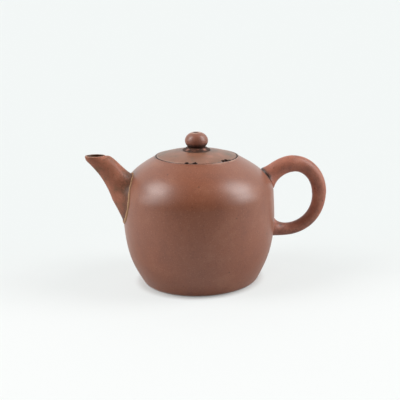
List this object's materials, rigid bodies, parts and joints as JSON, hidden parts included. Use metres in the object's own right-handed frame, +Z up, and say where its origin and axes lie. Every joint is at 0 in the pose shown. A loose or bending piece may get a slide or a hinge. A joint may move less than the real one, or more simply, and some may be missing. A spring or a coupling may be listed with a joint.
{
  "type": "teapot",
  "caption": "Small round unglazed stoneware teapot with a hollow spout, loop handle, strainer and inset lid that lifts off, for brewing and pouring tea.",
  "frame": {"origin": "middle of the base disc, on the surface that the pot stands on", "axes": "+Z up along the pot's axis; +X from the spout to the handle; Y across the pot"},
  "size_m": [0.1504, 0.093, 0.0931],
  "materials": {
    "body_clay": "unglazed, burnished satin",
    "handle_clay": "unglazed, burnished satin",
    "lid_clay": "unglazed, satin",
    "slip_clay": "matte",
    "stained_clay": "tea-stained satin"
  },
  "bodies": {
    "pot": {"base_disc": "body_clay", "body_wall": "body_clay", "shoulder_disc": "body_clay", "mouth_ring": "body_clay", "spout": "body_clay", "spout_joint_slip": "slip_clay", "handle": "handle_clay"},
    "lid": {"lid_plate": "lid_clay", "lid_flange": "lid_clay", "knob_collar": "stained_clay", "knob": "lid_clay"}
  },
  "joints": [
    {"name": "lid_lift", "type": "slide", "parent": "pot", "child": "lid", "axis": [0, 0, 1], "range_m": [0, 0.06]}
  ]
}
